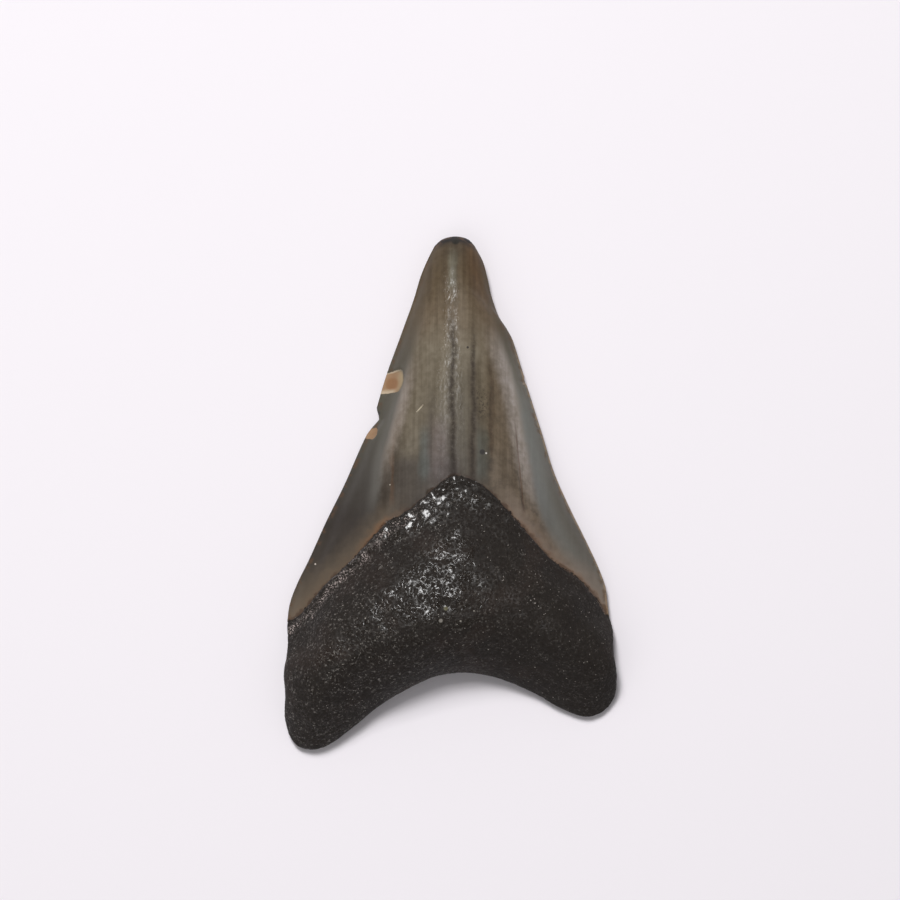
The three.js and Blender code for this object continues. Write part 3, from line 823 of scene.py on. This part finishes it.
# Fields of the enamel: x and y; across, -1 to 1 over its width; side, 0 to 1 from its middle line; border
# and jagged, below 0 before the root; edge, from the cutting edge; loose, outwards from the pale streaks
enamel = {
    "body": [   # colours of the middle of the crown at heights in millimetres
        (33, (80, 70, 57)), (28, (96, 83, 65)), (23, (114, 101, 84)), (18, (123, 115, 101)),
        (12.5, (108, 100, 86)), (7.5, (98, 90, 78)), (3, (75, 68, 61)), (-2, (67, 59, 51)),
        (-8, (68, 60, 51)),
    ],
    "blade": [   # and of the thin blades on both sides
        (30, (82, 68, 48)), (23, (90, 78, 61)), (18, (85, 79, 68)), (13, (85, 81, 71)),
        (8, (82, 79, 70)), (3, (69, 65, 59)), (-4, (51, 45, 40)), (-10, (62, 55, 48)),
        (-16, (84, 74, 63)),
    ],
    "noises": {   # scale, detail and roughness
        "mottle": (1.1, 4.0, 0.6), "wander": (0.4, 2.0), "jags": (0.9, 3.0), "crackGaps": (2.4, 3.0, 0.7),
        "speckles": (2.6, 2.0, 0.7), "spots": (1.0, 2.0), "edgeGaps": (1.4, 2.0, 0.7),
        "dotGaps": (1.7, 2.0), "dullness": (0.8, 2.0),
    },
    "wanderReach": 4.0, "looseReach": 0.6, "jagReach": 1.6,   # how far those noises move things
    "rightHalf": (-0.1, 0.25),   # across, from the left half to the right half
    "bladeBegins": (0.0, 1.4),   # loose, from the body to the blades
    "rightBody": (srgb(116, 100, 80), 0.6, ("x", 3.5, 6.0), ("mottle", 0.2, 0.6)),
    "rightBlade": (srgb(128, 125, 117), 0.42, "rightward", ("y", 22.0, 14.0)),
    "tipLeft": srgb(88, 73, 49), "tipRight": srgb(100, 75, 45),
    "tip": (0.75, ("y", 21.0, 28.0), ("side", 0.1, 0.6)),
    "bands": [   # coloured bands down the body: middle x, half width, from and to y, colour, strength
        (0.4, 0.5, 32.6, 25, (114, 113, 100), 0.6),
        (-4.6, 1.5, 20, 3, (120, 112, 98), 0.6),
        (-3.1, 0.7, 9, 0, (80, 88, 88), 0.6),
        (-1.3, 1.1, 10, 0, (104, 92, 92), 0.55),
        (1.8, 0.7, 16, 0, (90, 84, 72), 0.5),
        (3.3, 0.7, 18, 0, (80, 69, 54), 0.5),
        (6.7, 1.0, 17, 1, (122, 110, 96), 0.6),
        (7.2, 2.4, 6, -9, (108, 98, 88), 0.6),
        (4.3, 0.7, 9, 0, (74, 80, 76), 0.6),
        (5.5, 0.25, 18, 3, (82, 66, 50), 0.5),
        (-7.3, 0.25, 9, -3, (96, 72, 54), 0.5),
        (-0.4, 1.8, 5, -1, (62, 50, 48), 0.6),
    ],
    "bandStretch": (1, 0.4, 0), "bandBend": (0.9, 1.1),
    "streaks": [   # haze and a pale streak on the left, a pale streak and haze on the right, and a thin red line; the pale streaks are partly the enamel's tone and partly painted sheen where the slope turns
        (srgb(108, 106, 101), 0.5, ("loose", 0.2, 1.2), ("loose", 2.8, 1.4), "lowLeft"),
        # pale streak, partly the enamel's tone and partly painted sheen
        (srgb(146, 137, 130), 0.85, ("loose", -0.9, 0.3), ("loose", 1.5, 0.6), "lowLeft",
         ("y", -1.0, 8.0)),
        # pale streak, partly the enamel's tone and partly painted sheen
        (srgb(168, 162, 160), 1.0, ("loose", -1.6, 0.2), ("loose", 1.5, 0.3), "lowRight",
         ("y", 22.0, 16.0), "faintMottle", ("y", -4.0, 6.0, 0.45, 1.0)),
        (srgb(122, 126, 126), 0.5, ("loose", 0.4, 1.2), ("loose", 3.8, 1.4), "lowRight",
         ("y", 16.0, 9.0)),
        (srgb(92, 62, 46), 0.5, "redLine"),
    ],
    "lowLeft": ["leftward", ("border", -0.6, -5.0), ("y", 18.5, 12.0)],
    "lowRight": ["rightward", ("border", -0.6, -5.0)],
    "faintMottle": (0.2, 0.8),
    "redLine": (9.32, 0.09, 9.5, -4.5), "redLineSlant": 0.098,
    "lines": (srgb(222, 217, 208), srgb(255, 253, 250)),   # tints of the growth lines and the mottling
    "lineFades": (-0.7, 1.0), "mottleFades": (-0.6, 0.9),   # weaker on the blades, and on the body
    "lineRange": (0.3, 0.7), "lineStretch": (1.5, 0.05, 0.0), "lineNoise": (1.0, 2.5, 0.6),
    "nearRoot": [   # the root's upper edge shows through the last of the enamel
        (srgb(106, 92, 76), 0.55, ("jagged", -2.6, 0.6), ("across", -0.2, -0.42)),
        (tan, 1.0, ("jagged", -0.5, 0.9), ("across", -0.2, -0.42), ("x", -13.0, -9.0, 0.12, 0.7)),
        (srgb(140, 124, 113), 0.5, ("jagged", -2.2, 0.6), ("across", 0.2, 0.42)),
        (tan, 0.3, ("jagged", 0.1, 0.7), ("across", 0.2, 0.42)),
        (srgb(56, 36, 24), 0.6, ("jagged", 0.45, 0.8)),
    ],
    "crackGaps": (0.3, 0.6, 0.5, 1.0),
    "speckleBand": (4.1, 0.8, 14.5, 8.0),
    "wearAndTipShade": [   # cracks, specks beside them, the tip's rim darkened as painted shade where it curves away, brown spots and a pale line on the edge
        (crackDark, 1.0, "crack"),
        (crackDark, 0.6, ("speckles", 0.5, 0.62), "speckleBand"),
        # painted shade along the tip's rim, where it curves away from the light
        (srgb(18, 14, 12), 1.0, ("edge", 1.5, 0.5), ("y", 31.3, 32.8)),
        (srgb(88, 64, 44), 0.65, ("spots", 0.47, 0.62), ("edge", 0.8, 0.3), ("edge", 0.0, 0.2)),
        (srgb(156, 132, 104), 0.7, ("edgeGaps", 0.4, 0.54, 0.2, 1.0), ("edge", 0.36, 0.12), "rightward",
         ("y", 22.0, 16.0)),
    ],
    "marks": [   # small marks: x, y, radius and colour
        # painted shade: the first mark on the chipped facet of the left nick, the second at the very tip
        (-9.45, 10.2, 0.32, (62, 58, 54)), (0.75, 32.6, 0.5, (30, 28, 20)),
        # a dark pit, with a painted glint in it
        (4.3, 4.5, 0.34, (40, 36, 34)), (4.8, 4.35, 0.11, (196, 190, 184)),
        (2.4, 18.2, 0.16, (48, 40, 34)), (-17.5, -9.5, 0.11, (196, 186, 176)),
        (9.6, 14.0, 0.16, (138, 124, 108)), (-7.6, 0.4, 0.1, (150, 142, 130)),
        (7.0, -3.6, 0.1, (150, 140, 128)),
    ],
    "scratch": [   # a short pale scratch, as marks in a row
        (-4.15, 9.85, 0.08, (160, 150, 130)), (-4.02, 9.99, 0.09, (172, 160, 138)),
        (-3.89, 10.13, 0.09, (178, 166, 144)), (-3.76, 10.27, 0.09, (178, 166, 144)),
        (-3.63, 10.41, 0.09, (174, 162, 140)), (-3.5, 10.55, 0.08, (166, 154, 134)),
        (-3.37, 10.7, 0.07, (158, 146, 128)),
    ],
    "ridgeShift": (10.0, 20.0, 0.0, -0.2), "ridgeWidth": (10.0, 22.0, 1.0, 0.5),   # at heights y
    "ridge": [("fromRidge", 2.6, 1.2), ("y", 31.0, 25.0), ("y", 4.0, 21.0, 0.16, 1.0), "whole"],
    "slant": (1.0, 0.5, 1.0), "slantBend": (2.0, 0.4),   # stretch and bend of the ridge's fine pattern
    "dots": [(2.9, (0.28, 0.1)), (4.4, (0.28, 0.12))],   # scale and size
    # pale dots on the ridge, partly the enamel's grain and partly painted glints
    "ridgeDotsAndGlints": (srgb(178, 170, 162), 0.4, "dots", ("dotGaps", 0.38, 0.55), "ridge"),
    "dimples": (3.0, 0.07), "lineHeight": 0.008,   # the dimples' scale and depth
    "grain": (3.0, 2.0, 0.6), "grainHeight": 0.05,
    "reliefOnRidge": (0.9, 0.05),
    "roughness": 0.57, "roughReach": 0.16, "crackRoughness": 0.2,
    "glintScale": 2.6, "glints": (0.42, 0.58, 0.0, -0.3),
}


def enamelColour(group, place, fields, lines):
    y, mottle = fields["y"], fields["mottle"]
    strayedY = strayed(group, y, fields["wander"], enamel["wanderReach"])
    colour = heightRamp(group, strayedY, enamel["body"])
    colour = layered(group, fields, colour, [enamel["rightBody"]])
    scale, reach = enamel["bandBend"]
    bent = shaken(group, stretched(group, place, *enamel["bandStretch"]), scale, reach)
    bentX = maths(group, "SUBTRACT", axes(group, bent)[0], reach / 2)
    for middle, halfWidth, top, bottom, tint, strength in enamel["bands"]:
        band = stripe(group, bentX, y, middle, halfWidth, top, bottom)
        colour = blend(group, product(group, band, strength), colour, srgb(*tint))
    tipColour = blend(group, fields["rightward"], enamel["tipLeft"], enamel["tipRight"])
    colour = layered(group, fields, colour, [(tipColour, *enamel["tip"])])

    bladeColour = heightRamp(group, strayedY, enamel["blade"])
    bladeColour = layered(group, fields, bladeColour, [enamel["rightBlade"]])
    onBlade = spread(group, fields["loose"], *enamel["bladeBegins"])
    colour = blend(group, onBlade, colour, bladeColour)
    colour = layered(group, fields, colour, enamel["streaks"])
    for pattern, fades in ((lines, "lineFades"), (mottle, "mottleFades")):
        tint = blend(group, spread(group, pattern, *enamel["lineRange"]), *enamel["lines"])
        share = scaled(group, onBlade, *enamel[fades])
        colour = blend(group, share, colour, tint, "MULTIPLY")
    colour = layered(group, fields, colour, enamel["nearRoot"] + enamel["wearAndTipShade"])
    colour = spotted(group, fields, colour, enamel["marks"] + enamel["scratch"])
    return layered(group, fields, colour, [enamel["ridgeDotsAndGlints"]])


def enamelGroup():
    group, place = newLook("enamelLook")
    names = ("across", "outward", "border", "edge", "crack")
    fields = lookFields(group, place, names, enamel["noises"])
    x, y, mottle = fields["x"], fields["y"], fields["mottle"]
    fields["side"] = maths(group, "ABSOLUTE", fields["across"])
    fields["rightward"] = spread(group, fields["across"], *enamel["rightHalf"])
    fields["leftward"] = opposite(group, fields["rightward"])
    fields["loose"] = strayed(group, fields["outward"], mottle, enamel["looseReach"])
    fields["jagged"] = scaled(group, fields["jags"], enamel["jagReach"], fields["border"])
    fields["lowLeft"] = overlap(group, fields, enamel["lowLeft"])
    fields["lowRight"] = overlap(group, fields, enamel["lowRight"])
    fields["faintMottle"] = scaled(group, mottle, *enamel["faintMottle"])
    slantedX = scaled(group, y, enamel["redLineSlant"], x)
    fields["redLine"] = stripe(group, slantedX, y, *enamel["redLine"])
    gaps = spread(group, fields["crackGaps"], *enamel["crackGaps"])
    fields["crack"] = product(group, fields["crack"], gaps)
    fields["whole"] = opposite(group, fields["crack"])
    fields["speckleBand"] = stripe(group, x, y, *enamel["speckleBand"])

    fromRidge = maths(group, "ADD", x, spread(group, y, *enamel["ridgeShift"]))
    fromRidge = maths(group, "ABSOLUTE", fromRidge)
    fields["fromRidge"] = maths(group, "DIVIDE", fromRidge, spread(group, y, *enamel["ridgeWidth"]))
    fields["ridge"] = overlap(group, fields, enamel["ridge"])
    slanted = shaken(group, stretched(group, place, *enamel["slant"]), *enamel["slantBend"])
    dots = [spread(group, cells(group, slanted, scale), *size) for scale, size in enamel["dots"]]
    fields["dots"] = maths(group, "MAXIMUM", *dots)
    drawn = stretched(group, place, *enamel["lineStretch"])   # growth lines run down the crown
    lines = noise(group, drawn, *enamel["lineNoise"])
    colour = enamelColour(group, place, fields, lines)

    scale, depth = enamel["dimples"]
    dimples = product(group, cells(group, slanted, scale, "SMOOTH_F1"), depth)
    fine = scaled(group, noise(group, slanted, *enamel["grain"]), enamel["grainHeight"], dimples)
    hammered = product(group, fine, scaled(group, fields["ridge"], *enamel["reliefOnRidge"]))
    height = scaled(group, lines, enamel["lineHeight"], hammered)
    rough = strayed(group, enamel["roughness"], fields["dullness"], enamel["roughReach"])
    rough = scaled(group, fields["crack"], enamel["crackRoughness"], rough)
    glints = spread(group, noise(group, slanted, enamel["glintScale"]), *enamel["glints"])
    rough = scaled(group, fields["ridge"], glints, rough)
    return finishLook(group, colour, rough, height)


# Fields of the root: x and y; across as on the enamel; border, from the enamel; upward, 1 on level ground
root = {
    "base": srgb(22, 14, 8),
    "noises": {   # scale, detail and roughness
        "warmth": (0.16, 3.0), "greyness": (1.6, 3.0, 0.7), "grain": (5.0, 1.5, 0.6),
        "patches": (0.8, 3.0, 0.6), "grit": (2.9, 2.5, 0.75), "paintedSparkleGaps": (1.3, 2.0),
        "shoulderGlintGaps": (0.7, 2.0), "crestGaps": (1.9, 2.0),
    },
    "bend": (1.1, 0.6),
    "looseReach": 2.4,
    "dotScales": {"dots": 2.1, "paintedSparkles": 1.9},
    "glossy": [(-3.0, -13.0, 5.5), (4.5, -5.5, 4.5)], "lessGritAndSheen": -0.6,   # x, y and radius; less grit and painted sheen on the glinting bulge and the upper right
    "layers": [
        (srgb(36, 25, 19), 1.0, ("warmth", 0.5, 0.68)),
        (srgb(42, 36, 30), 0.6, "greyness"),
        # painted shade in the middles of the fine pits
        (srgb(12, 9, 7), 0.45, "finePits"),
        # pale dots, partly the root's grain and partly painted glints
        (srgb(96, 89, 81), 0.55, ("dots", 0.24, 0.12), ("grain", 0.45, 0.6), ("patches", 0.4, 0.6)),
        # pale grit, partly the root's grain and partly painted sheen; stronger to the left, as painted
        # light from that side
        (srgb(120, 115, 110), 1.0, ("grit", 0.54, 0.68), ("patches", 0.38, 0.62, 0.22, 1.0), "gritty",
         ("x", -12.0, 10.0, 0.9, 0.34)),
        # bright specks painted into the colour: painted glints
        (srgb(186, 178, 170), 0.75, ("paintedSparkles", 0.15, 0.07), ("paintedSparkleGaps", 0.48, 0.58)),
        # pale speckled band just inside the enamel's left border: painted glints along the soft ridge there
        (srgb(182, 168, 163), 0.9, ("loose", 0.5, 1.0), ("loose", 1.8, 1.2), ("across", -0.12, -0.3),
         ("grain", 0.52, 0.6), ("shoulderGlintGaps", 0.42, 0.56, 0.2, 1.0)),
    ],
    "grains": [   # grains of sand stuck in the root: x, y, radius and colour
        (-0.27, -15.8, 0.27, (92, 88, 66)), (-0.9, -17.35, 0.24, (122, 117, 110)),
        (1.6, -17.4, 0.12, (140, 134, 126)), (3.3, -16.1, 0.1, (128, 122, 114)),
        (-10.5, -17.0, 0.1, (140, 133, 126)),
    ],
    "wide": 1.55, "wideDepth": 0.065,   # pits for each millimetre, and how deep they are
    "fine": 2.9, "fineDepth": 0.035,
    "pitSlope": (0.0, 0.42), "widePatches": (0.25, 0.6),
    "grainHeight": 0.045,
    "crests": [("widePits", 0.42, 0.14), ("crestGaps", 0.38, 0.48)], "crestSmooth": -0.9,
    "speckStretch": (1, 1, 1.2), "specks": (4.2, 1.5), "speckRange": (0.57, 0.64, 0.0, 0.6),
    "valley": [("border", 2.4, 3.6), ("border", 7.0, 5.2)], "valleyDullness": -0.72,
    "polish": [
        "shine", ("patches", 0.38, 0.54, 0.3, 1.0), "offValley", ("x", 7.0, 2.0, 0.45, 1.0),
        ("upward", 0.6, 0.92, 0.25, 1.0),
    ],
    "roughness": 0.85, "polished": 0.1,
    "melted": 0.85,   # strength of the clear coat on the melted flats
}


def rootGroup():
    group, place = newLook("rootLook")
    fields = lookFields(group, place, ("across", "border", "upward"), root["noises"])
    x, y, patches = fields["x"], fields["y"], fields["patches"]
    bent = shaken(group, place, *root["bend"])
    for name, scale in (("widePits", root["wide"]), ("finePits", root["fine"])):
        distance = cells(group, bent, scale, "DISTANCE_TO_EDGE")
        fields[name] = spread(group, distance, *root["pitSlope"])
    for name, scale in root["dotScales"].items():
        fields[name] = cells(group, bent, scale)
    glossy = maths(group, "MAXIMUM", *[mark(group, x, y, *spot) for spot in root["glossy"]])
    fields["gritty"] = scaled(group, glossy, root["lessGritAndSheen"], 1.0)
    fields["loose"] = strayed(group, fields["border"], patches, root["looseReach"])
    colour = layered(group, fields, root["base"], root["layers"])
    colour = spotted(group, fields, colour, root["grains"])

    crests = overlap(group, fields, root["crests"])
    specks = noise(group, stretched(group, place, *root["speckStretch"]), *root["specks"])
    fields["shine"] = maths(group, "MAXIMUM", crests, spread(group, specks, *root["speckRange"]))
    valley = overlap(group, fields, root["valley"])
    fields["offValley"] = scaled(group, valley, root["valleyDullness"], 1.0)
    polish = overlap(group, fields, root["polish"])
    rough = between(group, polish, root["roughness"], root["polished"])
    inPits = scaled(group, crests, root["crestSmooth"], 1.0)   # the crests between the pits are smooth
    fine = product(group, fields["grain"], root["grainHeight"])
    fine = scaled(group, fields["finePits"], -root["fineDepth"], fine)
    wide = product(group, fields["widePits"], spread(group, patches, *root["widePatches"]))
    height = scaled(group, wide, -root["wideDepth"], product(group, fine, inPits))
    return finishLook(group, colour, rough, height)


# Where flakes are off: depth is the distance inside their outline
flakeLook = {
    "dark": srgb(136, 100, 72), "light": srgb(160, 134, 106), "noises": {"tone": (0.9, 3.0)},
    "stain": (-7.6, 14.0, 0.8),   # x, y and radius
    "rightward": (-7.3, -6.0),
    "leftRim": (0.0, 0.12), "rightRim": (0.0, 0.5),   # the right side fades out softly
    "layers": [
        (srgb(158, 144, 116), 0.8, "rightward"),
        (srgb(140, 104, 74), 1.0, "stain"),
        (srgb(192, 176, 152), 0.8, ("y", 13.5, 12.9), ("y", 11.5, 12.0), ("x", -6.8, -7.6)),
        (srgb(200, 186, 164), 0.7, ("depth", 0.3, 0.1), ("y", 15.0, 15.6)),
    ],
    "rougher": 0.25,
}

# Where the two looks meet, and what they have in common
finish = {
    "jags": (1.1, 4.0, 0.65), "jagReach": 1.5, "rootBegins": (0.72, 0.86),
    "strokeStretch": (1.0, 0.6, 1.0), "strokes": (2.4, 2.0), "strokeRange": (0.36, 0.5, 0.1, 1.0),
    "coatRoughness": 0.16,
    "specular": 0.35,
}


def flakeColours(tree, place):   # colour where the flakes are off, and how much of it shows
    fields = lookFields(tree, place, (), flakeLook["noises"])
    fields["depth"] = attribute(tree, "flake")
    fields["rightward"] = spread(tree, fields["x"], *flakeLook["rightward"])
    fields["stain"] = mark(tree, fields["x"], fields["y"], *flakeLook["stain"])
    colour = blend(tree, fields["tone"], flakeLook["dark"], flakeLook["light"])
    colour = layered(tree, fields, colour, flakeLook["layers"])
    rims = [spread(tree, fields["depth"], *flakeLook[name]) for name in ("leftRim", "rightRim")]
    return colour, between(tree, fields["rightward"], *rims)


def fossilMaterial():
    material = bpy.data.materials.new("fossilTooth")
    material.use_nodes = True
    tree = material.node_tree
    shader = tree.nodes["Principled BSDF"]
    coordinates = tree.nodes.new("ShaderNodeTexCoord").outputs["Object"]
    place = stretched(tree, coordinates, *[1 / millimetre] * 3)
    looks = []
    for group in (enamelGroup(), rootGroup()):
        node = tree.nodes.new("ShaderNodeGroup")
        node.node_tree = group
        plug(tree, place, node.inputs["Place"])
        looks.append(node.outputs)
    crown, base = looks

    jags = noise(tree, place, *finish["jags"])
    border = scaled(tree, jags, finish["jagReach"], attribute(tree, "border"))
    rootShare = spread(tree, border, *finish["rootBegins"])
    colour = blend(tree, rootShare, crown["Color"], base["Color"])
    flakeColour, flake = flakeColours(tree, place)
    colour = blend(tree, flake, colour, flakeColour)
    rough = between(tree, rootShare, crown["Roughness"], base["Roughness"])
    rough = scaled(tree, flake, flakeLook["rougher"], rough)
    height = between(tree, rootShare, crown["Height"], base["Height"])
    strokes = noise(tree, stretched(tree, place, *finish["strokeStretch"]), *finish["strokes"])
    strokes = spread(tree, strokes, *finish["strokeRange"])
    melted = product(tree, attribute(tree, "melted"), strokes, rootShare, root["melted"])

    bump = tree.nodes.new("ShaderNodeBump")
    bump.inputs["Strength"].default_value = 1.0
    bump.inputs["Distance"].default_value = millimetre
    plug(tree, height, bump.inputs["Height"])
    plug(tree, bump.outputs["Normal"], shader.inputs["Normal"])
    plug(tree, colour, shader.inputs["Base Color"])
    plug(tree, rough, shader.inputs["Roughness"])
    plug(tree, melted, shader.inputs["Coat Weight"])
    shader.inputs["Coat Roughness"].default_value = finish["coatRoughness"]
    shader.inputs["Specular IOR Level"].default_value = finish["specular"]
    return material


fossilTooth.data.materials.append(fossilMaterial())
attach(fossilTooth, "root")
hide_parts("tooth")
print("tooth finished")


# Floor, lights and sky
studio = {
    "floorSize": 3.0, "floorColour": srgb(239, 234, 239), "floorRoughness": 0.7,
    "overhead": 0.3, "around": 0.16,   # sky: brightness above, and low all round
    "skyTurns": (0.33, 0.57),   # between these upward shares of its direction
    "keyPlace": (-0.096, 0.296, 0.736), "keySize": (0.19, 0.31), "keyPower": 4.0,
    "coreSize": (0.07, 0.11), "corePower": 1.1,   # brighter middle of the key light
    "fillPlace": (-0.25, -0.35, 0.45), "fillSize": (0.5, 0.5), "fillPower": 0.36,
}


def floorPlane():
    bpy.ops.mesh.primitive_plane_add(size=studio["floorSize"], location=(0, 0, 0))
    floor = bpy.context.object
    floor.name = "floor"
    material = bpy.data.materials.new("paleFloor")
    material.use_nodes = True
    shader = material.node_tree.nodes["Principled BSDF"]
    shader.inputs["Base Color"].default_value = studio["floorColour"]
    shader.inputs["Roughness"].default_value = studio["floorRoughness"]
    floor.data.materials.append(material)


def softLight(name, place, size, power):   # faces the tooth
    data = bpy.data.lights.new(name, "AREA")
    data.shape = "RECTANGLE"
    data.size, data.size_y = size
    data.energy = power
    light = bpy.data.objects.new(name, data)
    light.location = place
    light.rotation_euler = (-Vector(place)).to_track_quat("-Z", "Y").to_euler()
    bpy.context.collection.objects.link(light)


def studioWorld():   # white, and brighter overhead than around
    world = bpy.data.worlds.new("studio")
    world.use_nodes = True
    tree = world.node_tree
    coordinates = tree.nodes.new("ShaderNodeTexCoord").outputs["Generated"]
    upward = axes(tree, coordinates)[2]
    strength = spread(tree, upward, *studio["skyTurns"], studio["around"], studio["overhead"])
    background = tree.nodes["Background"]
    plug(tree, strength, background.inputs["Strength"])
    background.inputs["Color"].default_value = (1, 1, 1, 1)
    bpy.context.scene.world = world


camera = {
    "place": (0.012, -0.03763, 0.45093),
    "target": (0.0, 0.0053, 0.003),
    "pixelSize": 0.00013, "pixels": 900,   # at the target, in the square frame
    "sensor": 36, "nearest": 0.01,
}


def photoCamera():   # looks down at the tooth with its tip pointing up in the frame
    place, target = Vector(camera["place"]), Vector(camera["target"])
    data = bpy.data.cameras.new("photoCamera")
    data.sensor_width = camera["sensor"]
    data.lens = camera["sensor"] * (place - target).length / (camera["pixelSize"] * camera["pixels"])
    data.clip_start = camera["nearest"]
    back = (place - target).normalized()
    sideways = Vector((0, 1, 0)).cross(back).normalized()
    turn = Matrix((sideways, back.cross(sideways), back)).transposed().to_4x4()
    view = bpy.data.objects.new("photoCamera", data)
    view.matrix_world = Matrix.Translation(place) @ turn
    bpy.context.collection.objects.link(view)
    bpy.context.scene.camera = view


floorPlane()
softLight("keyLight", studio["keyPlace"], studio["keySize"], studio["keyPower"])
softLight("keyCore", studio["keyPlace"], studio["coreSize"], studio["corePower"])
softLight("fillLight", studio["fillPlace"], studio["fillSize"], studio["fillPower"])
studioWorld()
photoCamera()
bpy.context.scene.view_settings.view_transform = "Standard"
print("stage set")
